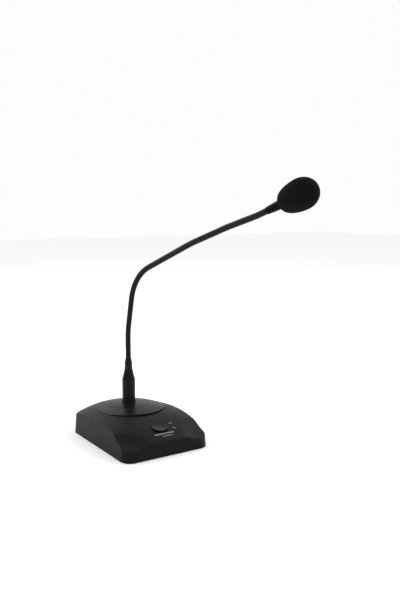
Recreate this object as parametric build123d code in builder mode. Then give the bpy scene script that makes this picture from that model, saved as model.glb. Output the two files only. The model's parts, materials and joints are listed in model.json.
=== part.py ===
"""Gooseneck podium microphone: a weighted desk base, a plug-in flexible neck and a foam windscreen.

Millimetres, +Z up. The origin is the middle of the base's footprint on the desk. The talk button
faces -Y, the cable outlet faces +Y, and the neck leans over the button, a little towards +X.
"""
from build123d import *
from math import cos, hypot, pi, radians, sin, tan
import os

os.makedirs("parts", exist_ok=True)

# ---------------------------------------------------------------- driving dimensions
# base shell
base_width = 136.0            # X, at the lower edge
base_depth = 178.0            # Y, at the lower edge
wall_draft = 3.7              # degrees, every outer wall leans in
corner_radius = 16.0          # upright corners, seen from above
shell_wall = 2.6
shell_foot = 0.8              # the shell's lower edge stands this far off the desk
crown_height = 49.2           # top of the dome, at the middle of the platform
crown_y = 21.0
front_fall = 27.4             # how far the dome has dropped at the front edge
front_fall_power = 1.95
rear_fall = 10.1              # how far it has dropped at the rear edge
side_fall_front, side_fall_rear = 4.0, 13.8     # how far it drops from the centre line to a side wall
side_fall_run = 143.0         # the fall grows from one to the other over this length
scoop_depth = 4.4             # each front corner is dished by this much
scoop_inner, scoop_outer = 20.0, 42.0   # the dish's slope runs between these radii
top_edge_radius = 1.2

# platform, centred on the dome's top, and the neck socket in it
socket_y = 29.2
platform_radius = 49.75
platform_recess = 1.2         # depth of the step that the platform sits in
platform_lift = 0.6           # how far its rim stands above the dome at the sides
platform_front_lift = 1.5     # and how much more it stands at the front
platform_rim = 0.8            # thickness of the rim that overhangs the groove round it
platform_overhang = 2.2
platform_ring = 31.0          # radius of the groove in its top, round the socket
ring_width, ring_depth = 1.0, 0.5
platform_edge = 0.45
fit_gap = 0.25                # clearance round an inserted part

# plug at the foot of the neck
plug_radius = 9.75
plug_bore = 8.15
plug_low, plug_high = 34.3, 82.3
boot_high = 99.8
collar_high = 116.4
collar_radius = 5.9
pin_radius = 1.2
pin_circle = 4.6
contact_clearance = 0.07

# neck
neck_radius = 4.05
neck_bore = 1.9
lead_radius = 1.0
neck_heading = 11.0           # degrees from -Y towards +X
neck_start = 76.0             # the neck tube is gripped inside the plug from here
lead_start = 62.0             # and the lead inside it starts here, at the plug's insert
neck_end_depth = 9.0          # the neck's last stretch is inside the head's sleeve
neck_corners = [(0, 157.4), (16, 242.2), (135.6, 293.4), (200.6, 316.1), (251.6, 331.6), (272.2, 339.38)]
neck_bends = [120, 67, 300, 300, 60]
joint_places = [33, 92, 150, 208, 266, 326]     # along the neck, measured from the collar's top
joint_plays = ["bend", "swing", "bend", "bend", "swing", "bend"]
ball_gap = 0.1                # between a ball and its cup
cup_cut = 0.34                # each cup's rim stands this part of a radius behind the ball's centre
ball_cut = 0.46               # and each ball ends this part of a radius behind it

# head
head_tilt = 20.7              # degrees above level
foam_start, foam_end = 28.0, 80.0     # along the head, from the end of the neck
foam_radius = 19.0
foam_mouth = 7.4              # radius of the rolled edge where the sleeve goes in
foam_waist = 57.7             # the windscreen is widest here
foam_bore = 5.95
foam_seat = 62.0
housing_radius = 5.6

# talk button and lamp
button_y = -61.8
button_radius = 11.3
button_gap = 0.6              # between the button and the dome
button_guide_depth = 8.0      # the tube under the dome that the button slides in
button_skirt = 4.5
button_rise = 1.6             # its rim stands this far off the dome
button_dish = 60.0            # radius of the hollow for the fingertip
button_dish_depth = 0.9
lamp_offset = 21.5            # from the button, up the slope
lamp_radius = 1.5
lamp_gap = 0.15
lamp_top = 2.6                # measured from the button's plane, square to it
switch_board_depth = 15.5     # its upper side is this far under the button's plane
switch_board_size = (37.0, 39.0, 1.6)
switch_board_shift = 6.0
switch_board_holes = [(x, y) for x in (-15.0, 15.0) for y in (-9.5, 21.5)]
switch_top = 9.4              # depth of the switch's top
plunger_size = 3.2
plunger_top, plunger_end = 6.4, 12.4  # depths

# screws, by the radius of their shanks
small_screw, large_screw, ballast_screw = 1.25, 1.5, 2.0
screw_boss_radius = 4.0       # on the shell, round the bottom plate's screws
board_boss_radius = 2.8       # and under the dome, for the switch board's screws

# bottom plate and what stands on it
plate_thickness = 1.6
plate_top = shell_foot + plate_thickness
foot_socket = 0.4             # each foot sits this deep in the plate
foot_radius = 8.0
foot_places = [(0, 0)] + [(x, y) for x in (-49, 49) for y in (-70, 70)]
bottom_screw_places = [(x, y) for x in (-57.5, 57.5) for y in (-48, 58)]
ballast_size = (100.0, 66.0, 8.6)
ballast_y = 24.5
ballast_screw_places = [(-38, ballast_y), (38, ballast_y)]
board_size = (74.0, 54.0, 1.6)
board_y = -47.0
board_low = 8.4
standoff_places = [(x, board_y + y) for x in (-33, 33) for y in (-23, 23)]

# cable outlet
outlet_height = 21.0
outlet_face = 87.7
outlet_flange = (26.0, 29.0, 1.6)
outlet_barrel = 10.5
outlet_cavity = 8.3
outlet_depth = 16.0
outlet_length = 21.0
outlet_screw_places = [(9.4, 10.9), (-9.4, -10.9)]

# neck socket
socket_rim_high = 50.9
socket_rim_radius = 10.6
socket_flange_high = 44.2
socket_flange_radius = 15.5
socket_screw_places = [(-13.2, socket_y), (13.2, socket_y)]

# ---------------------------------------------------------------- shared shapes
half_width, half_depth = base_width / 2, base_depth / 2
section_points = [-78 + 6 * step for step in range(27)]
section_places = [-100, -91, -82, -74, -66, -58, -50, -42, -32, -16, 2, crown_y, 42, 62, 82, 100]
front_run = crown_y + half_depth
rear_run = half_depth - crown_y


def smooth_step(value):
    value = min(max(value, 0.0), 1.0)
    return value * value * (3 - 2 * value)


def dome_height(x, y):
    """Height of the base's top above the desk."""
    if y < crown_y:
        ridge = crown_height - front_fall * ((crown_y - y) / front_run) ** front_fall_power
    else:
        ridge = crown_height - rear_fall * ((y - crown_y) / rear_run) ** 2
    along = smooth_step((y + half_depth) / side_fall_run)
    side = side_fall_front + (side_fall_rear - side_fall_front) * along
    corner = hypot(abs(x) - (half_width - 1), y + half_depth)
    scoop = scoop_depth * smooth_step((scoop_outer - corner) / (scoop_outer - scoop_inner))
    return ridge - side * (x / (half_width - 2)) ** 2 - scoop


def platform_height(x, y):
    """Height of the platform's top: the dome, lifted most at the front."""
    front = max(crown_y - y, 0.0) / platform_radius
    return dome_height(x, y) + platform_lift + platform_front_lift * front ** 2


def space_under(height, lift=0.0):
    """Everything below height(x, y) + lift, reaching wider and lower than the base."""
    with BuildPart() as space:
        for y in section_places:
            with BuildSketch(Plane.XZ.offset(-y)):
                with BuildLine():
                    top = [(x, height(x, y) + lift) for x in section_points]
                    Spline(*top)
                    Polyline(top[-1], (top[-1][0], -5), (top[0][0], -5), top[0])
                make_face()
        loft()
    return space.part


def dome_block(inset, low, rounded=False):
    """The base's outer body or, with an inset, the space inside its walls."""
    shrink = 2 * inset + 2 * (low - shell_foot) * tan(radians(wall_draft))
    space = space_under(dome_height, -inset)
    with BuildPart() as block:
        with BuildSketch(Plane.XY.offset(low)):
            RectangleRounded(base_width - shrink, base_depth - shrink, corner_radius - inset)
        extrude(amount=60, taper=wall_draft)
        add(space, mode=Mode.INTERSECT)
        if rounded:
            top = block.faces().filter_by(GeomType.BSPLINE).sort_by(Axis.Z)[-1]
            fillet(top.edges(), top_edge_radius)
    return block.part


def save(builder, name):
    """Label a finished piece and write its file."""
    builder.part.label = name
    export_step(builder.part, f"parts/{name}.step")


def turn(points, plane):
    """Add to the open part the solid turned about the plane's Z axis from (radius, height) points."""
    with BuildSketch(Plane(plane.origin, plane.x_dir, -plane.y_dir)) as outline:
        with BuildLine():
            Polyline(*points, close=True)
        make_face()
    revolve(outline.sketch, axis=Axis(plane.origin, plane.z_dir))


def screw(plane, radius, length, head_radius, head_height, countersunk=False):
    """Add a cross-head screw; the plane is its head's underside or, if countersunk, its flat top."""
    if countersunk:
        top = 0
        head = [(radius, -head_height), (head_radius, 0)]
    else:
        top = head_height
        head = [(radius, 0), (head_radius, 0), (head_radius, top * 0.6), (head_radius * 0.75, top)]
    turn([(0, -length), (radius, -length), *head, (0, top)], plane)
    with BuildSketch(plane.offset(top)) as recess:
        Rectangle(head_radius * 1.1, head_radius * 0.26)
        Rectangle(head_radius * 0.26, head_radius * 1.1)
    extrude(recess.sketch, amount=-head_height * 0.5, mode=Mode.SUBTRACT)


def wire(radius, corners, bends):
    """An insulated lead along straight runs joined by arcs."""
    with BuildPart() as piece:
        with BuildLine() as route:
            FilletPolyline(*corners, radius=bends)
        with BuildSketch(Plane(route.line @ 0, z_dir=route.line % 0)):
            Circle(radius)
        sweep(path=route.line)
    return piece


def facing_down(x, y, height):
    """A plane that looks down at the desk."""
    return Plane((x, y, height), (1, 0, 0), (0, 0, -1))


to_bottom = (Align.CENTER, Align.CENTER, Align.MIN)
to_top = (Align.CENTER, Align.CENTER, Align.MAX)

# ---------------------------------------------------------------- places
socket_plane = Plane((0, socket_y, 0))
button_tilt = radians(12)
button_normal = Vector(0, -sin(button_tilt), cos(button_tilt))
button_plane = Plane((0, button_y, dome_height(0, button_y)), (1, 0, 0), button_normal)
switch_board_plane = button_plane.offset(-switch_board_depth)
outlet_plane = Plane((0, outlet_face, outlet_height), (-1, 0, 0), (0, 1, 0))

heading = Vector(sin(radians(neck_heading)), -cos(radians(neck_heading)), 0)
neck_plane = Plane((0, socket_y, 0), heading, heading.cross(Vector(0, 0, 1)))
head_axis = heading * cos(radians(head_tilt)) + Vector(0, 0, sin(radians(head_tilt)))
neck_end = neck_plane.from_local_coords(Vector(*neck_corners[-1]))
head_origin = neck_end - head_axis * neck_end_depth
head_plane = Plane(head_origin, heading.cross(Vector(0, 0, 1)), head_axis)

outer_block = dome_block(0, shell_foot, rounded=True)
inner_block = dome_block(shell_wall, shell_foot - 1)
platform_floor = space_under(dome_height, -platform_recess)
platform_space = space_under(platform_height)
under_rim = space_under(platform_height, -platform_rim)
ring_floor = space_under(platform_height, -ring_depth)

# ---------------------------------------------------------------- base shell and platform
with BuildPart() as platform_pocket:
    with BuildSketch(Plane.XY.offset(20)):
        with Locations((0, crown_y)):
            Circle(platform_radius + fit_gap)
    extrude(amount=40)
    add(platform_floor, mode=Mode.SUBTRACT)

with BuildPart() as rim_groove:
    with BuildSketch(Plane.XY.offset(20)):
        with Locations((0, crown_y)):
            Circle(platform_radius + 5)
            Circle(platform_radius - platform_overhang, mode=Mode.SUBTRACT)
    extrude(amount=40)
    add(under_rim, mode=Mode.INTERSECT)

with BuildPart() as ring_groove:
    with BuildSketch(Plane.XY.offset(20)):
        with Locations((0, socket_y)):
            Circle(platform_ring)
            Circle(platform_ring - ring_width, mode=Mode.SUBTRACT)
    extrude(amount=40)
    add(ring_floor, mode=Mode.SUBTRACT)

with BuildPart() as top_shell:
    add(outer_block)
    add(inner_block, mode=Mode.SUBTRACT)
    # bosses for the bottom screws and the switch board, a pad round the socket, a guide for the button
    with BuildSketch(Plane.XY.offset(plate_top)):
        with Locations(*bottom_screw_places):
            Circle(screw_boss_radius)
    extrude(amount=crown_height)
    with BuildSketch(Plane.XY.offset(socket_flange_high)):
        with Locations((0, socket_y)):
            Circle(socket_flange_radius + 1)
    extrude(amount=8)
    with BuildSketch(switch_board_plane):
        with Locations(*switch_board_holes):
            Circle(board_boss_radius)
    extrude(amount=20)
    with BuildSketch(button_plane.offset(-button_guide_depth)):
        Circle(button_radius + 2.4)
    extrude(amount=button_guide_depth + 2)
    with BuildSketch(outlet_plane.offset(-6)):
        RectangleRounded(outlet_flange[0] + 4, outlet_flange[1] + 3, 3)
    extrude(amount=8)
    add(outer_block, mode=Mode.INTERSECT)
    # openings
    add(platform_pocket.part, mode=Mode.SUBTRACT)
    with BuildSketch(Plane.XY.offset(35)):
        with Locations((0, socket_y)):
            Circle(socket_rim_radius + 0.45)
    extrude(amount=20, mode=Mode.SUBTRACT)
    with BuildSketch(Plane.XY.offset(socket_flange_high)):
        with Locations(*socket_screw_places):
            Circle(small_screw)
    extrude(amount=2.6, mode=Mode.SUBTRACT)
    with BuildSketch(button_plane.offset(-20)):
        Circle(button_radius + button_gap)
        with Locations((0, lamp_offset)):
            Circle(lamp_radius + lamp_gap)
    extrude(amount=40, mode=Mode.SUBTRACT)
    with BuildSketch(switch_board_plane):
        with Locations(*switch_board_holes):
            Circle(small_screw)
    extrude(amount=6, mode=Mode.SUBTRACT)
    with BuildSketch(outlet_plane.offset(-outlet_flange[2])):
        RectangleRounded(outlet_flange[0] + 0.5, outlet_flange[1] + 0.5, 3.25)
    extrude(amount=8, mode=Mode.SUBTRACT)
    with BuildSketch(outlet_plane.offset(-8)):
        Circle(outlet_barrel + fit_gap)
        with Locations(*outlet_screw_places):
            Circle(large_screw)
    extrude(amount=8, mode=Mode.SUBTRACT)
    with BuildSketch(Plane.XY.offset(plate_top)):
        with Locations(*bottom_screw_places):
            Circle(large_screw)
    extrude(amount=8, mode=Mode.SUBTRACT)
save(top_shell, "top_shell")

with BuildPart() as platform_disc:
    with BuildSketch(Plane.XY.offset(20)):
        with Locations((0, crown_y)):
            Circle(platform_radius)
    extrude(amount=40)
    add(platform_space, mode=Mode.INTERSECT)
    add(platform_floor, mode=Mode.SUBTRACT)
    fillet(platform_disc.faces().sort_by(Axis.Z)[-1].edges(), platform_edge)
    add(rim_groove.part, mode=Mode.SUBTRACT)
    add(ring_groove.part, mode=Mode.SUBTRACT)
    with BuildSketch(Plane.XY.offset(35)):
        with Locations((0, socket_y)):
            Circle(socket_rim_radius + 0.25)
    extrude(amount=20, mode=Mode.SUBTRACT)
save(platform_disc, "platform_disc")

# ---------------------------------------------------------------- bottom plate and weight
plate_gap = 0.3
plate_shrink = 2 * (shell_wall + plate_gap)
bottom_screw_head, ballast_screw_head = 3.1, 3.6

with BuildPart() as bottom_plate:
    with BuildSketch(Plane.XY.offset(shell_foot)):
        RectangleRounded(base_width - plate_shrink, base_depth - plate_shrink, corner_radius - shell_wall)
    extrude(amount=plate_thickness)
    with BuildSketch(Plane.XY.offset(shell_foot)):
        with Locations(*foot_places):
            Circle(foot_radius)
    extrude(amount=foot_socket, mode=Mode.SUBTRACT)
    for x, y in bottom_screw_places:
        with Locations(facing_down(x, y, shell_foot)):
            Cone(large_screw, bottom_screw_head, plate_thickness, align=to_top, mode=Mode.SUBTRACT)
    for x, y in ballast_screw_places:
        with Locations(facing_down(x, y, shell_foot)):
            Cone(ballast_screw, ballast_screw_head, plate_thickness, align=to_top, mode=Mode.SUBTRACT)
save(bottom_plate, "bottom_plate")

with BuildPart() as rubber_feet:
    with BuildSketch():
        with Locations(*foot_places):
            Circle(foot_radius)
    extrude(amount=shell_foot + foot_socket)
    fillet(rubber_feet.faces().filter_by(Plane.XY).group_by(Axis.Z)[0].edges(), 0.3)
save(rubber_feet, "rubber_feet")

with BuildPart() as bottom_screws:
    for x, y in bottom_screw_places:
        screw(facing_down(x, y, shell_foot), large_screw, 8.5, bottom_screw_head, plate_thickness, True)
save(bottom_screws, "bottom_screws")

with BuildPart() as ballast_weight:
    with BuildSketch(Plane.XY.offset(plate_top)):
        with Locations((0, ballast_y)):
            RectangleRounded(ballast_size[0], ballast_size[1], 4)
    extrude(amount=ballast_size[2])
    chamfer(ballast_weight.faces().sort_by(Axis.Z)[-1].edges(), 0.8)
    with BuildSketch(Plane.XY.offset(plate_top)):
        with Locations(*ballast_screw_places):
            Circle(ballast_screw)
    extrude(amount=6, mode=Mode.SUBTRACT)
save(ballast_weight, "ballast_weight")

with BuildPart() as ballast_screws:
    for x, y in ballast_screw_places:
        screw(facing_down(x, y, shell_foot), ballast_screw, 7.0, ballast_screw_head, plate_thickness, True)
save(ballast_screws, "ballast_screws")

# ---------------------------------------------------------------- amplifier board
board_top = board_low + board_size[2]
board_hole = small_screw + 0.1

with BuildPart() as board_standoffs:
    with BuildSketch(Plane.XY.offset(plate_top)):
        with Locations(*standoff_places):
            RegularPolygon(2.9, 6)
            Circle(small_screw, mode=Mode.SUBTRACT)
    extrude(amount=board_low - plate_top)
save(board_standoffs, "board_standoffs")

with BuildPart() as main_board:
    with BuildSketch(Plane.XY.offset(board_low)):
        with Locations((0, board_y)):
            RectangleRounded(board_size[0], board_size[1], 2)
        with Locations(*standoff_places):
            Circle(board_hole, mode=Mode.SUBTRACT)
    extrude(amount=board_size[2])
save(main_board, "main_board")

with BuildPart() as board_screws:
    for x, y in standoff_places:
        screw(Plane((x, y, board_top)), small_screw, 6.0, 2.4, 1.6)
save(board_screws, "board_screws")

chip_place = (-14, -49)
chip_length, chip_width, chip_high = 9.6, 6.4, 3.7
pin_pitch = 2.54
with BuildPart() as amp_chip:
    with BuildSketch(Plane.XY.offset(board_top + 0.5)):
        with Locations(chip_place):
            Rectangle(chip_length, chip_width)
    extrude(amount=chip_high - 0.5)
    chamfer(amp_chip.faces().sort_by(Axis.Z)[-1].edges(), 0.4)
    with Locations((chip_place[0] - chip_length / 2, chip_place[1], board_top + chip_high)):
        Cylinder(0.8, 0.6, align=to_top, mode=Mode.SUBTRACT)
    with BuildSketch(Plane.XY.offset(board_top)):
        with Locations(chip_place):
            with GridLocations(pin_pitch, chip_width + 0.8, 4, 2):
                Rectangle(0.6, 0.8)
    extrude(amount=2)
save(amp_chip, "amp_chip")

with BuildPart() as capacitors:
    for x, y, radius, tall in ((28, -35, 3.15, 9), (-28, -35, 3.15, 9), (9, -43, 2.5, 7), (17, -43, 2.5, 7)):
        with Locations((x, y, board_top)):
            Cylinder(radius, tall, align=to_bottom)
    tops = capacitors.faces().filter_by(Plane.XY).filter_by(lambda face: face.center().Z > board_top + 1)
    fillet(tops.edges(), 0.5)
save(capacitors, "capacitors")

switch_lead_top = button_plane.from_local_coords((0, 21, -switch_board_depth - switch_board_size[2]))
switch_lead_turn = switch_lead_top - button_normal * 3.0
header_places = [(20, -27.5), (-20, -27.5), (0, switch_lead_turn.Y)]
header_size = (8.0, 5.6, 5.5)
with BuildPart() as wire_headers:
    with BuildSketch(Plane.XY.offset(board_top)):
        with Locations(*header_places):
            Rectangle(header_size[0], header_size[1])
    extrude(amount=header_size[2])
    chamfer(wire_headers.edges().filter_by(Axis.Z), 0.4)
save(wire_headers, "wire_headers")

# ---------------------------------------------------------------- neck socket
contact_angles = (pi / 6, 5 * pi / 6, -pi / 2)
contact_spots = [(pin_circle * cos(angle), pin_circle * sin(angle)) for angle in contact_angles]
contact_places = [(x, y + socket_y) for x, y in contact_spots]
contact_radius = 1.75
contact_low = 23.5
socket_bore = plug_radius + 0.08
socket_floor = 29.5
socket_wall = 11.2
socket_foot_bore = 7.2
flange_low = socket_flange_high - 2.2
insert_shoulder = plug_low - 0.3
insert_high = 48.5
insert_radius = plug_bore - 0.1

with BuildPart() as socket_shell:
    turn([(socket_bore, socket_floor), (socket_bore, socket_rim_high),
          (socket_rim_radius - 0.3, socket_rim_high), (socket_rim_radius, socket_rim_high - 0.3),
          (socket_rim_radius, socket_flange_high), (socket_flange_radius, socket_flange_high),
          (socket_flange_radius, flange_low), (socket_wall, flange_low), (socket_wall, socket_floor - 2.5),
          (socket_foot_bore, socket_floor - 2.5), (socket_foot_bore, socket_floor)], socket_plane)
    with BuildSketch(Plane.XY.offset(35)):
        with Locations(*socket_screw_places):
            Circle(board_hole)
    extrude(amount=12, mode=Mode.SUBTRACT)
save(socket_shell, "socket_shell")

with BuildPart() as socket_insert:
    turn([(0, socket_floor), (socket_bore, socket_floor), (socket_bore, insert_shoulder),
          (insert_radius, insert_shoulder), (insert_radius, insert_high - 0.5),
          (insert_radius - 0.5, insert_high), (0, insert_high)], socket_plane)
    with BuildSketch(Plane.XY.offset(20)):
        with Locations(*contact_places):
            Circle(contact_radius)
    extrude(amount=30, mode=Mode.SUBTRACT)
save(socket_insert, "socket_insert")

with BuildPart() as socket_contacts:
    with BuildSketch(Plane.XY.offset(contact_low)):
        with Locations(*contact_places):
            Circle(contact_radius)
    extrude(amount=insert_high - 0.5 - contact_low)
    with BuildSketch(Plane.XY.offset(30)):
        with Locations(*contact_places):
            Circle(pin_radius + contact_clearance)
    extrude(amount=30, mode=Mode.SUBTRACT)
save(socket_contacts, "socket_contacts")

with BuildPart() as socket_screws:
    for x, y in socket_screw_places:
        screw(facing_down(x, y, flange_low), small_screw, 4.6, 1.9, 1.4)
save(socket_screws, "socket_screws")

# ---------------------------------------------------------------- talk button, switch and lamp
with BuildPart() as talk_button:
    with BuildSketch(button_plane.offset(-button_skirt)):
        Circle(button_radius)
    extrude(amount=button_skirt + button_rise)
    with Locations(button_plane.offset(button_rise - button_dish_depth + button_dish)):
        Sphere(button_dish, mode=Mode.SUBTRACT)
    rim = talk_button.edges().filter_by(GeomType.CIRCLE).sort_by(Axis(button_plane.origin, button_normal))[-1]
    fillet(rim, 0.5)
    # hollow underneath, with a stem for the plunger
    with BuildSketch(button_plane.offset(-button_skirt - 0.5)):
        Circle(button_radius - 1.5)
        Circle(2.2, mode=Mode.SUBTRACT)
    extrude(amount=button_skirt + 1, mode=Mode.SUBTRACT)
    with BuildSketch(button_plane.offset(-plunger_top)):
        Circle(2.2)
    extrude(amount=2.5)
save(talk_button, "talk_button")

with BuildPart() as switch_plunger:
    with BuildSketch(button_plane.offset(-plunger_end)):
        RectangleRounded(plunger_size, plunger_size, 0.4)
    extrude(amount=plunger_end - plunger_top)
save(switch_plunger, "switch_plunger")

with BuildPart() as switch_body:
    with BuildSketch(switch_board_plane):
        RectangleRounded(8.6, 8.6, 0.6)
    extrude(amount=switch_board_depth - switch_top)
    with BuildSketch(switch_board_plane.offset(0.4)):
        RectangleRounded(plunger_size + 0.3, plunger_size + 0.3, 0.45)
    extrude(amount=10, mode=Mode.SUBTRACT)
save(switch_body, "switch_body")

with BuildPart() as switch_board:
    with BuildSketch(switch_board_plane.offset(-switch_board_size[2])):
        with Locations((0, switch_board_shift)):
            RectangleRounded(switch_board_size[0], switch_board_size[1], 2)
        with Locations(*switch_board_holes):
            Circle(board_hole, mode=Mode.SUBTRACT)
    extrude(amount=switch_board_size[2])
save(switch_board, "switch_board")

with BuildPart() as switch_board_screws:
    for x, y in switch_board_holes:
        place = button_plane.from_local_coords((x, y, -switch_board_depth - switch_board_size[2]))
        screw(Plane(place, (1, 0, 0), -button_normal), small_screw, 6.5, 2.3, 1.5)
save(switch_board_screws, "switch_board_screws")

lamp_plane = Plane(button_plane.from_local_coords((0, lamp_offset, 0)), (1, 0, 0), button_normal)
lamp_foot = -9.0
with BuildPart() as lamp:
    with BuildSketch(lamp_plane.offset(lamp_foot)):
        Circle(lamp_radius + 0.4)
    extrude(amount=1)
    with BuildSketch(lamp_plane.offset(lamp_foot)):
        Circle(lamp_radius)
    extrude(amount=lamp_top - lamp_foot)
    fillet(lamp.faces().sort_by(Axis(lamp_plane.origin, button_normal))[-1].edges(), 1.3)
save(lamp, "lamp")

with BuildPart() as lamp_leads:
    with BuildSketch(lamp_plane.offset(-switch_board_depth)):
        with Locations((-pin_pitch / 2, 0), (pin_pitch / 2, 0)):
            Rectangle(0.5, 0.5)
    extrude(amount=switch_board_depth + lamp_foot)
save(lamp_leads, "lamp_leads")

with BuildPart() as lamp_bezel:
    with BuildSketch(lamp_plane.offset(lamp_top - 1.3)):
        Circle(2.5)
        Circle(lamp_radius + lamp_gap, mode=Mode.SUBTRACT)
    extrude(amount=1.3)
    add(outer_block, mode=Mode.SUBTRACT)
save(lamp_bezel, "lamp_bezel")

# ---------------------------------------------------------------- cable outlet
outlet_spots = [(x, -y) for x, y in contact_spots]
outlet_pin_root = 3.5         # how far the pins stand out of the back of the insert
outlet_screw_head = 2.9

with BuildPart() as outlet_shell:
    with BuildSketch(outlet_plane.offset(-outlet_flange[2])):
        RectangleRounded(outlet_flange[0], outlet_flange[1], 3)
    extrude(amount=outlet_flange[2])
    with BuildSketch(outlet_plane.offset(-outlet_length)):
        Circle(outlet_barrel)
    extrude(amount=outlet_length + 0.9)
    fillet(outlet_shell.faces().sort_by(Axis.Y)[-1].edges(), 0.4)
    with BuildSketch(outlet_plane.offset(-outlet_length - 1)):
        Circle(outlet_cavity)
    extrude(amount=outlet_length + 5, mode=Mode.SUBTRACT)
    for x, y in outlet_screw_places:
        with Locations(Plane(outlet_plane.from_local_coords((x, y, 0)), (-1, 0, 0), (0, 1, 0))):
            Cone(large_screw, outlet_screw_head, outlet_flange[2], align=to_top, mode=Mode.SUBTRACT)
save(outlet_shell, "outlet_shell")

with BuildPart() as outlet_insert:
    with BuildSketch(outlet_plane.offset(-outlet_length)):
        Circle(outlet_cavity)
        with Locations(*outlet_spots):
            Circle(pin_radius, mode=Mode.SUBTRACT)
    extrude(amount=outlet_length - outlet_depth)
save(outlet_insert, "outlet_insert")

with BuildPart() as outlet_pins:
    with BuildSketch(outlet_plane.offset(-outlet_length - outlet_pin_root)):
        with Locations(*outlet_spots):
            Circle(pin_radius)
    extrude(amount=outlet_length)
    fillet(outlet_pins.faces().group_by(Axis.Y)[-1].edges(), 0.9)
save(outlet_pins, "outlet_pins")

with BuildPart() as outlet_screws:
    for x, y in outlet_screw_places:
        plane = Plane(outlet_plane.from_local_coords((x, y, 0)), (-1, 0, 0), (0, 1, 0))
        screw(plane, large_screw, 5.5, outlet_screw_head, outlet_flange[2], True)
save(outlet_screws, "outlet_screws")

# ---------------------------------------------------------------- wiring inside the base
lead_height = board_top + 3.5
header_back = header_places[0][1] + header_size[1] / 2
header_top = Vector(header_places[2][0], header_places[2][1], board_top + header_size[2])
save(wire(1.4, [(0, socket_y, socket_floor), (0, socket_y, lead_height + 0.6), (3, 8, lead_height),
                (20, -5, lead_height), (20, header_back, lead_height)], [6, 12, 8]), "socket_lead")
save(wire(1.4, [(0, outlet_face - outlet_length, outlet_height), (0, 57, outlet_height), (-18, 47, 17),
                (-20, 8, lead_height), (-20, header_back, lead_height)], [6, 12, 24]), "outlet_lead")
save(wire(1.2, [switch_lead_top, switch_lead_turn, header_top], [4]), "switch_lead")

# ---------------------------------------------------------------- plug
plug_insert_low, plug_insert_thickness = 51.5, 7.5
plug_pin_low = 36.0

with BuildPart() as plug_shell:
    turn([(plug_bore, plug_low), (plug_radius - 0.3, plug_low), (plug_radius, plug_low + 0.3),
          (plug_radius, plug_high), (plug_bore, plug_high)], socket_plane)
save(plug_shell, "plug_shell")

with BuildPart() as plug_insert:
    with BuildSketch(Plane.XY.offset(plug_insert_low)):
        with Locations((0, socket_y)):
            Circle(plug_bore)
        with Locations(*contact_places):
            Circle(pin_radius, mode=Mode.SUBTRACT)
    extrude(amount=plug_insert_thickness)
save(plug_insert, "plug_insert")

with BuildPart() as plug_pins:
    with BuildSketch(Plane.XY.offset(plug_pin_low)):
        with Locations(*contact_places):
            Circle(pin_radius)
    extrude(amount=lead_start - 0.5 - plug_pin_low)
    fillet(plug_pins.faces().group_by(Axis.Z)[0].edges(), 0.9)
save(plug_pins, "plug_pins")

chuck_radius = 6.6
boot_spigot = 78.0
with BuildPart() as plug_chuck:
    turn([(neck_radius, neck_start - 2), (chuck_radius, neck_start - 2), (chuck_radius, 86),
          (5.2, 89.3), (neck_radius, 89.3)], socket_plane)
    with BuildSketch(Plane.XY.offset(82)):
        with Locations((0, socket_y)):
            with PolarLocations(0, 3):
                Rectangle(2 * chuck_radius + 2, 0.8)
    extrude(amount=10, mode=Mode.SUBTRACT)
save(plug_chuck, "plug_chuck")

boot_slots = 8
slot_place = Location((8.5, 0, 90.5), (0, -16, 0))     # a slot lies in the boot's sloping side
with BuildPart() as plug_boot:
    turn([(chuck_radius, boot_spigot), (plug_bore, boot_spigot), (plug_bore, plug_high),
          (plug_radius, plug_high), (plug_radius, plug_high + 1.6), (9.3, 86.3), (8.3, 90), (7.1, 94.5),
          (collar_radius + 0.3, boot_high), (neck_radius + 0.1, boot_high), (neck_radius + 0.1, 92),
          (chuck_radius, 86.5)], socket_plane)
    for number in range(boot_slots):
        with Locations(socket_plane.rotated((0, 0, (number + 0.5) * 360 / boot_slots)) * slot_place):
            Box(2.4, 1.1, 9.5, mode=Mode.SUBTRACT)
save(plug_boot, "plug_boot")

with BuildPart() as neck_collar:
    turn([(neck_radius + 0.05, boot_high), (collar_radius - 0.4, boot_high), (collar_radius, boot_high + 0.4),
          (collar_radius, 106.6), (collar_radius - 0.5, 107.1), (collar_radius - 0.5, 107.8),
          (collar_radius, 108.3), (collar_radius, 109.6), (collar_radius - 0.4, 110.6),
          (neck_radius + 0.4, collar_high - 0.4), (neck_radius + 0.3, collar_high),
          (neck_radius + 0.05, collar_high)], socket_plane)
save(neck_collar, "neck_collar")

# ---------------------------------------------------------------- neck
def neck_tube(radius, bore, start):
    """A tube, or a rod with no bore, along the whole neck from a height start in the plug."""
    with BuildPart() as tube:
        with BuildLine(neck_plane) as route:
            FilletPolyline((0, start), *neck_corners, radius=neck_bends)
        with BuildSketch(Plane(route.line @ 0, z_dir=route.line % 0)):
            Circle(radius)
            if bore:
                Circle(bore, mode=Mode.SUBTRACT)
        sweep(path=route.line)
    return tube.part


with BuildLine(neck_plane) as neck_line:
    FilletPolyline((0, collar_high), *neck_corners, radius=neck_bends)
joint_planes = []
for place in joint_places:
    centre = neck_line.wire().position_at(place, position_mode=PositionMode.LENGTH)
    along = neck_line.wire().tangent_at(place, position_mode=PositionMode.LENGTH)
    joint_planes.append(Plane(centre, neck_plane.z_dir, along))


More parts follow.
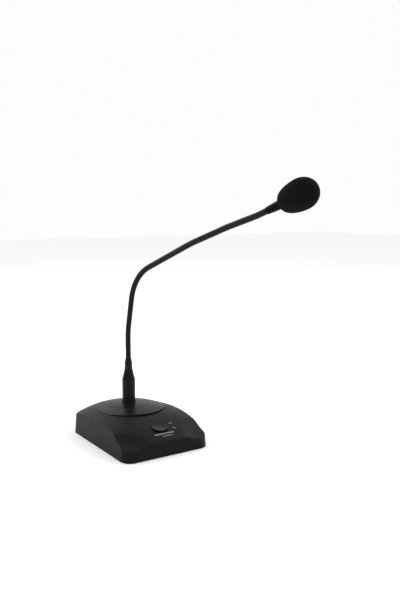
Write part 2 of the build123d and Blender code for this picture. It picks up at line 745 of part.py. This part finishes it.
def span(whole, number, radius, bore):
    """One length of the neck or its lead: it starts with a ball and ends with a cup."""
    ball = radius - 0.05 if bore else radius
    with BuildPart() as piece:
        add(whole)
        if number > 0:
            first = joint_planes[number - 1]
            split(bisect_by=first, keep=Keep.TOP)
            with Locations(first):
                Sphere(ball)
            split(bisect_by=first.offset(-ball_cut * radius), keep=Keep.TOP)
            if bore:
                with Locations(first.offset(-radius)):
                    Cylinder(bore, 2 * radius, align=to_bottom, mode=Mode.SUBTRACT)
                with Locations(first.offset(-ball_cut * radius)):
                    Cone(bore + 0.5, bore, ball_cut * radius + 0.3, align=to_bottom, mode=Mode.SUBTRACT)
        if number < len(joint_planes):
            last = joint_planes[number]
            split(bisect_by=last.offset(-cup_cut * radius), keep=Keep.BOTTOM)
            with Locations(last):
                Sphere(ball + ball_gap, mode=Mode.SUBTRACT)
    return piece


whole_neck = neck_tube(neck_radius, neck_bore, neck_start)
whole_lead = neck_tube(lead_radius, 0, lead_start)
for number in range(len(joint_planes) + 1):
    save(span(whole_neck, number, neck_radius, neck_bore), f"neck_span_{number + 1}")
    save(span(whole_lead, number, lead_radius, 0), f"neck_lead_{number + 1}")

# ---------------------------------------------------------------- head
housing_low, housing_high = 30.0, 57.0
housing_bore = 4.9
spigot_radius, spigot_bore = 4.6, 3.9
spigot_low, spigot_high = 24.0, 32.0
gasket_low, gasket_high = 43.0, 47.5
capsule_radius, capsule_high = 4.85, 54.2
grille_low = 55.0
grille_rings = [(0, 1), (1.5, 6), (2.9, 12)]     # radius of each ring of holes, and how many it has

with BuildPart() as head_sleeve:
    turn([(neck_radius, 4), (4.6, 4), (4.9, 8), (5.5, 19), (housing_radius, 27),
          (housing_radius, housing_low), (spigot_radius, housing_low), (spigot_radius, spigot_low),
          (3.6, 22), (1.8, 14), (1.8, neck_end_depth), (neck_radius, neck_end_depth)], head_plane)
save(head_sleeve, "head_sleeve")

with BuildPart() as capsule_housing:
    turn([(spigot_bore, spigot_low), (spigot_radius, spigot_low), (spigot_radius, housing_low),
          (housing_radius, housing_low), (housing_radius, housing_high), (housing_bore, housing_high),
          (housing_bore, spigot_high), (spigot_bore, spigot_high)], head_plane)
save(capsule_housing, "capsule_housing")

with BuildPart() as capsule_gasket:
    turn([(spigot_bore, gasket_low), (housing_bore, gasket_low), (housing_bore, gasket_high),
          (spigot_bore, gasket_high)], head_plane)
save(capsule_gasket, "capsule_gasket")

with BuildPart() as capsule:
    turn([(0, gasket_high), (capsule_radius, gasket_high), (capsule_radius, capsule_high - 0.4),
          (capsule_radius - 0.4, capsule_high), (1.2, capsule_high), (1.2, capsule_high - 0.8),
          (0, capsule_high - 0.8)], head_plane)
save(capsule, "capsule")

with BuildPart() as capsule_grille:
    turn([(0, 57.9), (3.5, 57.4), (4.3, grille_low), (housing_bore, grille_low), (housing_bore, housing_high),
          (housing_radius, housing_high), (housing_radius, 58.4), (4.8, 59.6), (2.5, 60.4), (0, 60.6)],
         head_plane)
    with BuildSketch(head_plane.offset(grille_low)):
        for ring, holes in grille_rings:
            with PolarLocations(ring, holes):
                Circle(0.45)
    extrude(amount=10, mode=Mode.SUBTRACT)
save(capsule_grille, "capsule_grille")

with BuildPart() as windscreen:
    with BuildSketch(Plane(head_plane.origin, head_plane.x_dir, -head_plane.y_dir)):
        with BuildLine():
            Bezier((0, foam_end), (8.5, foam_end), (foam_radius, 71.5), (foam_radius, foam_waist))
            Bezier((foam_radius, foam_waist), (foam_radius, 45.5), (15, foam_start), (foam_mouth, foam_start))
            Polyline((foam_mouth, foam_start), (foam_bore, foam_start + 0.8), (foam_bore, foam_seat - 3),
                     (foam_bore - 3, foam_seat), (0, foam_seat), (0, foam_end))
        make_face()
    revolve(axis=Axis(head_plane.origin, head_plane.z_dir))
save(windscreen, "windscreen")
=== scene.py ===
"""The looks of the gooseneck podium microphone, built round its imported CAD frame.

Metres, in the frame's axes: +Z up, the talk button faces -Y, the cable outlet faces +Y.
"""
import json
from math import atan2, cos, pi, radians, sin, tan

import bpy
from mathutils import Euler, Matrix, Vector, noise
from mathutils.bvhtree import BVHTree


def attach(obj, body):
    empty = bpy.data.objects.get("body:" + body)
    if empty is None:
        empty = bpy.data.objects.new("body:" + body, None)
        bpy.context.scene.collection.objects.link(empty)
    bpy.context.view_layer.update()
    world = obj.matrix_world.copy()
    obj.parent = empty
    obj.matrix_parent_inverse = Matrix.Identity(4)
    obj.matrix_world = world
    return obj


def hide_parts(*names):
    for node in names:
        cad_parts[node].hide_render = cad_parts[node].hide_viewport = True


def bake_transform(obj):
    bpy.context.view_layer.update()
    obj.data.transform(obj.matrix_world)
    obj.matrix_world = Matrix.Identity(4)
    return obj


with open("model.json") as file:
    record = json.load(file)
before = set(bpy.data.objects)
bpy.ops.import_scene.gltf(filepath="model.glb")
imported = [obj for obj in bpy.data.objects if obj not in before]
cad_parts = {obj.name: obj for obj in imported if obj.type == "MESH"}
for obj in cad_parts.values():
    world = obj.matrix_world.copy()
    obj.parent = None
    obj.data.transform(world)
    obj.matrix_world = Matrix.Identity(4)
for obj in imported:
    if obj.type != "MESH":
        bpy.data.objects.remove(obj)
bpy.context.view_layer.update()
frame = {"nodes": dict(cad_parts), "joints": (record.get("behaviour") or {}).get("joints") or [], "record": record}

MM = 0.001
nodes = frame["nodes"]

# ------------------------------------------------------------------ camera, floor and light
CAMERA_PLACE = Vector((-480.8, -887.9, 343.8)) * MM
CAMERA_YAW = radians(33.63)          # from +Y towards +X
CAMERA_DOWN = radians(7.70)
CAMERA_LENS = 42.0                   # on the usual 36 mm sensor

camera = bpy.data.objects.new("camera", bpy.data.cameras.new("camera"))
camera.data.lens = CAMERA_LENS
camera.location = CAMERA_PLACE
camera.rotation_euler = Euler((pi / 2 - CAMERA_DOWN, 0, -CAMERA_YAW))
bpy.context.scene.collection.objects.link(camera)
bpy.context.scene.camera = camera
bpy.context.scene.view_settings.view_transform = "Standard"


def area_light(name, place, target, size, power):
    """A soft square light that looks at a point."""
    data = bpy.data.lights.new(name, "AREA")
    data.shape = "SQUARE"
    data.size = size
    data.energy = power
    light = bpy.data.objects.new(name, data)
    light.location = place
    light.rotation_euler = (Vector(target) - Vector(place)).to_track_quat("-Z", "Y").to_euler()
    bpy.context.scene.collection.objects.link(light)


LIGHT_TARGET = (0, 0, 0.1)
LIGHT_SIZE = 1.2
LIGHT_POWER = 16
area_light("key_light", (-0.7, 1.4, 1.6), LIGHT_TARGET, LIGHT_SIZE, LIGHT_POWER)
area_light("fill_light", (1.5, -0.4, 1.3), LIGHT_TARGET, LIGHT_SIZE, LIGHT_POWER)

WORLD_STRENGTH = 0.98
world = bpy.data.worlds.new("studio")
world.use_nodes = True
world.node_tree.nodes["Background"].inputs["Color"].default_value = (1.0, 1.0, 1.0, 1)
world.node_tree.nodes["Background"].inputs["Strength"].default_value = WORLD_STRENGTH
bpy.context.scene.world = world


# ------------------------------------------------------------------ materials
CLOUD_SCALE = 90.0                   # the mottling's noise
CLOUD_LOW, CLOUD_HIGH = 0.3, 0.7     # the part of that noise that colour and gloss follow
GLOSS_SPREAD = 0.12
COAT_ROUGHNESS = 0.12
BUMP_STRENGTH = 0.5


def finish_of(name, colour, roughness, grain=0.3, depth=0.02, spread=0.25, metallic=0.0,
              coat=0.0, specular=0.5):
    """A procedural finish: mottled colour, uneven gloss and a grain of that size and depth in mm."""
    made = bpy.data.materials.new(name)
    made.use_nodes = True
    tree = made.node_tree
    shader = tree.nodes["Principled BSDF"]
    shader.inputs["Metallic"].default_value = metallic
    shader.inputs["Coat Weight"].default_value = coat
    shader.inputs["Coat Roughness"].default_value = COAT_ROUGHNESS
    shader.inputs["Specular IOR Level"].default_value = specular
    place = tree.nodes.new("ShaderNodeTexCoord")

    cloud = tree.nodes.new("ShaderNodeTexNoise")
    cloud.inputs["Scale"].default_value = CLOUD_SCALE
    cloud.inputs["Detail"].default_value = 5.0
    tree.links.new(place.outputs["Object"], cloud.inputs["Vector"])

    tint = tree.nodes.new("ShaderNodeValToRGB")
    low, high = [[channel * (1 + side * spread) for channel in colour] for side in (-1, 1)]
    tint.color_ramp.elements[0].position = CLOUD_LOW
    tint.color_ramp.elements[1].position = CLOUD_HIGH
    tint.color_ramp.elements[0].color = (*low, 1)
    tint.color_ramp.elements[1].color = (*high, 1)
    tree.links.new(cloud.outputs["Fac"], tint.inputs["Fac"])
    tree.links.new(tint.outputs["Color"], shader.inputs["Base Color"])

    gloss = tree.nodes.new("ShaderNodeMapRange")
    gloss.inputs["From Min"].default_value = CLOUD_LOW
    gloss.inputs["From Max"].default_value = CLOUD_HIGH
    gloss.inputs["To Min"].default_value = roughness * (1 - GLOSS_SPREAD)
    gloss.inputs["To Max"].default_value = min(roughness * (1 + GLOSS_SPREAD), 1.0)
    tree.links.new(cloud.outputs["Fac"], gloss.inputs["Value"])
    tree.links.new(gloss.outputs["Result"], shader.inputs["Roughness"])

    grains = tree.nodes.new("ShaderNodeTexNoise")
    grains.inputs["Scale"].default_value = 1 / (grain * MM)
    grains.inputs["Detail"].default_value = 3.0
    tree.links.new(place.outputs["Object"], grains.inputs["Vector"])
    bump = tree.nodes.new("ShaderNodeBump")
    bump.inputs["Strength"].default_value = BUMP_STRENGTH
    bump.inputs["Distance"].default_value = depth * MM
    tree.links.new(grains.outputs["Fac"], bump.inputs["Height"])
    tree.links.new(bump.outputs["Normal"], shader.inputs["Normal"])
    return made


PORE_SIZE = 0.75 * MM
PORE_DEPTH = 0.35 * MM
PORE_STRENGTH = 0.9
# painted shade: the pores get a darker colour than the cell walls, standing in for the shade inside them
PORE_PAINTED_SHADE, CELL_COLOUR = (0.002, 0.002, 0.002, 1), (0.008, 0.008, 0.0082, 1)
PORE_EDGE, CELL_EDGE = 0.15, 0.75    # where the pores' painted shade starts and ends


def foam_finish():
    """Open-cell foam: small pores between cell walls, with painted shade making the pores darker than the walls.
    """
    made = finish_of("foam", (0.004, 0.004, 0.004), 0.95, grain=0.5, depth=0.3, spread=0.5,
                     specular=0.05)
    tree = made.node_tree
    shader = tree.nodes["Principled BSDF"]
    place = tree.nodes["Texture Coordinate"]
    pores = tree.nodes.new("ShaderNodeTexVoronoi")
    pores.inputs["Scale"].default_value = 1 / PORE_SIZE
    tree.links.new(place.outputs["Object"], pores.inputs["Vector"])
    # painted shade: this ramp darkens the dips of the pore pattern, where the bump sinks the surface
    shade = tree.nodes.new("ShaderNodeValToRGB")
    shade.color_ramp.elements[0].position = PORE_EDGE
    shade.color_ramp.elements[1].position = CELL_EDGE
    shade.color_ramp.elements[0].color = PORE_PAINTED_SHADE
    shade.color_ramp.elements[1].color = CELL_COLOUR
    tree.links.new(pores.outputs["Distance"], shade.inputs["Fac"])
    tree.links.new(shade.outputs["Color"], shader.inputs["Base Color"])
    bump = tree.nodes.new("ShaderNodeBump")
    bump.inputs["Strength"].default_value = PORE_STRENGTH
    bump.inputs["Distance"].default_value = PORE_DEPTH
    tree.links.new(pores.outputs["Distance"], bump.inputs["Height"])
    tree.links.new(bump.outputs["Normal"], shader.inputs["Normal"])
    return made


# for each slot: colour, roughness, and what differs from the usual finish
LOOKS = {
    "shell_plastic": ((0.003, 0.0031, 0.0032), 0.44, dict(grain=0.35, depth=0.03, specular=0.115)),
    "platform_plastic": ((0.003, 0.0031, 0.0032), 0.36, dict(grain=0.5, depth=0.012, specular=0.125)),
    "plated_steel": ((0.03, 0.03, 0.032), 0.5, dict(grain=0.6, depth=0.05)),
    "foot_rubber": ((0.02, 0.02, 0.02), 0.85, dict(grain=0.4, depth=0.05, specular=0.3)),
    "screw_steel": ((0.35, 0.35, 0.36), 0.35, dict(grain=0.3, depth=0.01, metallic=1.0)),
    "ballast_iron": ((0.16, 0.16, 0.17), 0.6, dict(grain=0.8, depth=0.1, metallic=0.9)),
    "standoff_brass": ((0.72, 0.56, 0.26), 0.28, dict(grain=0.3, depth=0.005, metallic=1.0)),
    "board_laminate": ((0.02, 0.13, 0.05), 0.35, dict(grain=0.5, depth=0.01, coat=0.3)),
    "chip_plastic": ((0.02, 0.02, 0.02), 0.55, dict(grain=0.25, depth=0.02)),
    "capacitor_sleeve": ((0.02, 0.04, 0.13), 0.3, dict(grain=0.5, depth=0.01)),
    "header_plastic": ((0.72, 0.69, 0.62), 0.45, dict(grain=0.4, depth=0.01, spread=0.05)),
    "socket_metal": ((0.004, 0.004, 0.0042), 0.4, dict(grain=0.3, depth=0.01, specular=0.15)),
    "lamp_epoxy": ((0.012, 0.002, 0.002), 0.15, dict(grain=1.0, depth=0.002, specular=0.3)),
    "lead_wire": ((0.7, 0.7, 0.7), 0.3, dict(grain=0.3, depth=0.005, metallic=1.0)),
    "bezel_plastic": ((0.004, 0.004, 0.0042), 0.25, dict(grain=0.5, depth=0.005, specular=0.2)),
    "cable_jacket": ((0.03, 0.03, 0.032), 0.6, dict(grain=0.6, depth=0.02)),
    "button_plastic": ((0.003, 0.003, 0.0032), 0.3, dict(grain=0.35, depth=0.02, specular=0.14)),
    "plug_metal": ((0.003, 0.003, 0.0031), 0.36, dict(grain=0.25, depth=0.02, specular=0.13)),
    "collar_metal": ((0.003, 0.003, 0.0031), 0.18, dict(grain=0.3, depth=0.006, specular=0.18)),
    "neck_steel": ((0.003, 0.003, 0.0031), 0.38, dict(grain=0.3, depth=0.01, specular=0.15)),
    "sleeve_metal": ((0.002, 0.002, 0.0021), 0.4, dict(grain=0.3, depth=0.015, specular=0.04)),
    "gasket_rubber": ((0.02, 0.02, 0.02), 0.8, dict(grain=0.4, depth=0.03)),
    "capsule_metal": ((0.55, 0.55, 0.56), 0.32, dict(grain=0.3, depth=0.01, metallic=1.0)),
}
FINISHES = {slot: finish_of(slot, colour, roughness, **extras)
            for slot, (colour, roughness, extras) in LOOKS.items()}
FINISHES["foam"] = foam_finish()
for part in frame["record"]["subparts"]:
    shape = nodes[part["node"]]
    shape.data.materials.clear()
    shape.data.materials.append(FINISHES[part["material_slot"]])


# ------------------------------------------------------------------ mesh helper
def mesh_piece(name, points, faces, slot, smooth=True):
    """A new piece from its corner points and faces, with the finish of a material slot."""
    mesh = bpy.data.meshes.new(name)
    mesh.from_pydata([tuple(point) for point in points], [], faces)
    mesh.validate()
    mesh.polygons.foreach_set("use_smooth", [smooth] * len(mesh.polygons))
    mesh.materials.append(FINISHES[slot])
    piece = bpy.data.objects.new(name, mesh)
    bpy.context.scene.collection.objects.link(piece)
    return piece


def ring_faces(rings, around, closed_start=False, closed_end=False):
    """Faces that join rings of points, with a cap on an end that is closed."""
    faces = []
    for ring in range(rings - 1):
        for step in range(around):
            following = (step + 1) % around
            low, high = ring * around, (ring + 1) * around
            faces.append((low + step, low + following, high + following, high + step))
    if closed_start:
        faces.append(tuple(range(around - 1, -1, -1)))
    if closed_end:
        faces.append(tuple(range((rings - 1) * around, rings * around)))
    return faces


# ------------------------------------------------------------------ floor
FLOOR_REACH = 6
floor = mesh_piece("floor", [(x * FLOOR_REACH, y * FLOOR_REACH, 0)
                             for x, y in ((-1, -1), (1, -1), (1, 1), (-1, 1))],
                   [(0, 1, 2, 3)], "header_plastic", False)
floor.data.materials[0] = finish_of("pale_floor", (0.95, 0.95, 0.95), 0.9, grain=2.0, depth=0.01,
                                    spread=0.01, specular=0.0)

# ------------------------------------------------------------------ the neck's route
SOCKET_Y = 29.2
NECK_HEADING = radians(11.0)
NECK_CORNERS = [(0, 115.8), (0, 157.4), (16, 242.2), (135.6, 293.4), (200.6, 316.1), (251.6, 331.6),
                (272.2, 339.38)]
NECK_BENDS = [120, 67, 300, 300, 60]
NECK_RADIUS = 4.05
COIL_PITCH = 2.0
COIL_DEPTH = 0.32
COIL_ROUNDNESS = 0.55      # under 1 makes each wire broad with a narrow valley beside it
COIL_STEPS = 10            # rings of points in each turn of the coil
COIL_AROUND = 28
SEARCH_STEPS = 2000        # places tried along the neck when a joint is looked for
heading = Vector((sin(NECK_HEADING), -cos(NECK_HEADING), 0))
neck_side = heading.cross(Vector((0, 0, 1)))


def neck_route():
    """The neck's centre line as straight runs and arcs: (start, direction, turn rate, length) each."""
    pieces = []
    place = Vector(NECK_CORNERS[0])
    for index in range(1, len(NECK_CORNERS)):
        corner = Vector(NECK_CORNERS[index])
        along = (corner - place).normalized()
        if index == len(NECK_CORNERS) - 1:
            pieces.append((place, atan2(along.y, along.x), 0.0, (corner - place).length))
            break
        onward = (Vector(NECK_CORNERS[index + 1]) - corner).normalized()
        turn = atan2(onward.y, onward.x) - atan2(along.y, along.x)
        radius = NECK_BENDS[index - 1]
        setback = radius * tan(abs(turn) / 2)
        start = corner - along * setback
        pieces.append((place, atan2(along.y, along.x), 0.0, (start - place).length))
        rate = turn / (radius * abs(turn))
        pieces.append((start, atan2(along.y, along.x), rate, radius * abs(turn)))
        place = corner + onward * setback
    return pieces


ROUTE = neck_route()
NECK_LENGTH = sum(piece[3] for piece in ROUTE)


def neck_point(distance):
    """The point of the centre line that far along it, and its direction, in metres in the frame."""
    distance = min(max(distance, 0.0), NECK_LENGTH)
    for start, angle, rate, length in ROUTE:
        if distance <= length or (start, angle, rate, length) == ROUTE[-1]:
            break
        distance -= length
    turned = angle + rate * distance
    if rate:
        flat = start + Vector((sin(turned) - sin(angle), cos(angle) - cos(turned))) / rate
    else:
        flat = start + Vector((cos(angle), sin(angle))) * distance
    centre = Vector((0, SOCKET_Y, 0)) + heading * flat.x + Vector((0, 0, flat.y))
    along = heading * cos(turned) + Vector((0, 0, sin(turned)))
    return centre * MM, along


def nearest_distance(place):
    """How far along the neck a point of the frame lies."""
    steps = [NECK_LENGTH * step / SEARCH_STEPS for step in range(SEARCH_STEPS + 1)]
    return min(steps, key=lambda step: (neck_point(step)[0] - place).length)


def coil(name, start, end):
    """The wound steel tube between two distances along the neck."""
    rings = max(int((end - start) / COIL_PITCH * COIL_STEPS), 2)
    points = []
    for ring in range(rings + 1):
        distance = start + (end - start) * ring / rings
        centre, along = neck_point(distance)
        up = neck_side.cross(along)
        for step in range(COIL_AROUND):
            angle = 2 * pi * step / COIL_AROUND
            phase = (distance / COIL_PITCH - step / COIL_AROUND) % 1.0
            radius = NECK_RADIUS - COIL_DEPTH * (1 - abs(sin(pi * phase)) ** COIL_ROUNDNESS)
            points.append(centre + (neck_side * cos(angle) + up * sin(angle)) * radius * MM)
    return mesh_piece(name, points, ring_faces(rings + 1, COIL_AROUND, True, True), "neck_steel")


neck_joints = [joint for joint in frame["joints"]
               if joint["name"].startswith(("neck_bend", "neck_swing"))]
neck_joints.sort(key=lambda joint: nearest_distance(Vector(joint["pos_m"])))
joint_distances = [nearest_distance(Vector(joint["pos_m"])) for joint in neck_joints]
seams = [0.0]
seams += [(before + after) / 2 for before, after in zip(joint_distances, joint_distances[1:])]
seams += [NECK_LENGTH]
for index, joint in enumerate(neck_joints):
    tube = coil(f"neck_coil_{index + 1}", seams[index], seams[index + 1])
    hidden = [f"neck_span_{index + 1}"]
    if index == len(neck_joints) - 1:
        hidden.append(f"neck_span_{index + 2}")
    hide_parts(*hidden)
    centre, along = neck_point(joint_distances[index])
    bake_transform(tube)

# ------------------------------------------------------------------ windscreen
HEAD_TILT = radians(20.7)
NECK_END_DEPTH = 9.0
FOAM_START, FOAM_END, FOAM_RADIUS, FOAM_WAIST = 28.0, 79.8, 19.0, 57.7
FOAM_BORE, FOAM_SEAT = 5.85, 61.8
FOAM_AROUND = 220
FOAM_MOUTH = 7.6           # radius of the foam's flat lower end
FOAM_MIDDLE = 50           # its skin swells away from this distance along the head
FINE_PIT, COARSE_PIT, SWELL = (0.45, 0.08), (1.1, 0.10), (14, 0.16)  # size and depth of each, in mm
SKIN_LOSS = 0.1            # the skin lies this far under the smooth shape on average
head_axis = heading * cos(HEAD_TILT) + Vector((0, 0, sin(HEAD_TILT)))
head_up = neck_side.cross(head_axis)
head_origin = neck_point(NECK_LENGTH)[0] - head_axis * NECK_END_DEPTH * MM


def bezier(points, steps):
    """Points along a cubic curve, without its last one."""
    a, b, c, d = [Vector(point) for point in points]
    for step in range(steps):
        t = step / steps
        yield a * (1 - t) ** 3 + b * 3 * t * (1 - t) ** 2 + c * 3 * t * t * (1 - t) + d * t ** 3


def windscreen_profile():
    """(radius, distance along the head) from the tip, round the outside and into the bore."""
    tip = [(0, FOAM_END), (8.3, FOAM_END), (FOAM_RADIUS, 71.8), (FOAM_RADIUS, FOAM_WAIST)]
    skirt = [(FOAM_RADIUS, FOAM_WAIST), (FOAM_RADIUS, 45.6), (15, FOAM_START), (FOAM_MOUTH, FOAM_START)]
    mouth = [(FOAM_MOUTH, FOAM_START), (6.4, FOAM_START), (FOAM_BORE, 28.5), (FOAM_BORE, 30)]
    seat = [(FOAM_BORE, 60), (FOAM_BORE, 61.4), (4.4, FOAM_SEAT), (0.4, FOAM_SEAT)]
    outline = list(bezier(tip, 60))[1:] + list(bezier(skirt, 60)) + list(bezier(mouth, 8))
    outline += [Vector((FOAM_BORE, 30 + step * 2.0)) for step in range(15)]
    return outline + list(bezier(seat, 10))


def windscreen():
    """The foam cover, pitted all over like cut foam."""
    outline = windscreen_profile()
    points = []
    for radius, distance in outline:
        for step in range(FOAM_AROUND):
            angle = 2 * pi * step / FOAM_AROUND
            out = neck_side * cos(angle) + head_up * sin(angle)
            point = head_origin + (out * radius + head_axis * distance) * MM
            pits = (noise.noise(point / (COARSE_PIT[0] * MM)) * COARSE_PIT[1]
                    + noise.noise(point / (FINE_PIT[0] * MM) + head_axis) * FINE_PIT[1])
            swell = noise.noise(point / (SWELL[0] * MM)) * SWELL[1]
            outward = (point - head_origin - head_axis * FOAM_MIDDLE * MM).normalized()
            points.append(point + outward * (pits + swell - SKIN_LOSS) * MM)
    faces = ring_faces(len(outline), FOAM_AROUND)
    tip = head_origin + head_axis * (FOAM_END - SKIN_LOSS) * MM
    bottom = head_origin + head_axis * FOAM_SEAT * MM
    points += [tip, bottom]
    last = (len(outline) - 1) * FOAM_AROUND
    for step in range(FOAM_AROUND):
        following = (step + 1) % FOAM_AROUND
        faces.append((len(points) - 2, following, step))
        faces.append((len(points) - 1, last + step, last + following))
    piece = mesh_piece("foam_windscreen", points, [face[::-1] for face in faces], "foam")
    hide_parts("windscreen")
    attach(piece, "foam")


windscreen()


# ------------------------------------------------------------------ marks printed on the dome
shell_tree = BVHTree.FromObject(nodes["top_shell"], bpy.context.evaluated_depsgraph_get())


RAY_START = 0.2                      # above the dome
PRINT_TOP, PRINT_BOTTOM = 0.06, -0.05
BAR_ROUNDING = 4.0                   # the super-ellipse's power
BAR_ACROSS, BAR_ALONG = 24, 6        # steps over a bar's width and height


def on_dome(x, y, lift):
    """The point of the dome over (x, y) in mm, lifted a little off it."""
    place, normal, _, _ = shell_tree.ray_cast(Vector((x * MM, y * MM, RAY_START)), Vector((0, 0, -1)))
    return place + normal * lift * MM


def printed_bar(name, centre, width, height):
    """A thin bar of print that follows the dome; its corners are rounded by a super-ellipse."""
    across, along = BAR_ACROSS, BAR_ALONG
    points, faces = [], []
    for lift in (PRINT_TOP, PRINT_BOTTOM):
        for row in range(along + 1):
            for column in range(across + 1):
                u, v = 2 * column / across - 1, 2 * row / along - 1
                edge = (1 - abs(v) ** BAR_ROUNDING) ** (1 / BAR_ROUNDING) if abs(v) < 1 else 0.0
                reach = 1 - (1 - edge) * min(height / width, 1.0)
                x, y = centre[0] + u * reach * width / 2, centre[1] + v * height / 2
                points.append(on_dome(x, y, lift))
    stride = across + 1
    layer = stride * (along + 1)
    for row in range(along):
        for column in range(across):
            corner = row * stride + column
            quad = (corner, corner + 1, corner + 1 + stride, corner + stride)
            faces.append(quad)
            faces.append(tuple(index + layer for index in quad[::-1]))
    rim = list(range(across)) + [row * stride + across for row in range(along)]
    rim += [along * stride + column for column in range(across, 0, -1)]
    rim += [row * stride for row in range(along, 0, -1)]
    for here, there in zip(rim, rim[1:] + rim[:1]):
        faces.append((there, here, here + layer, there + layer))
    piece = mesh_piece(name, points, faces, "header_plastic", False)
    piece.data.materials[0] = FINISHES["print"]
    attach(piece, "base")


FINISHES["print"] = finish_of("print", (0.15, 0.15, 0.155), 0.6, grain=0.5, depth=0.005, spread=0.08)
for name, centre, width, height in (("mark_upper", (21.2, -56.6), 6.4, 1.3),
                                    ("mark_lower", (20.6, -67.3), 4.6, 1.8),
                                    ("strip_long", (0.4, -74.7), 31.0, 2.4),
                                    ("strip_short", (3.0, -79.3), 17.0, 1.2)):
    printed_bar(name, centre, width, height)
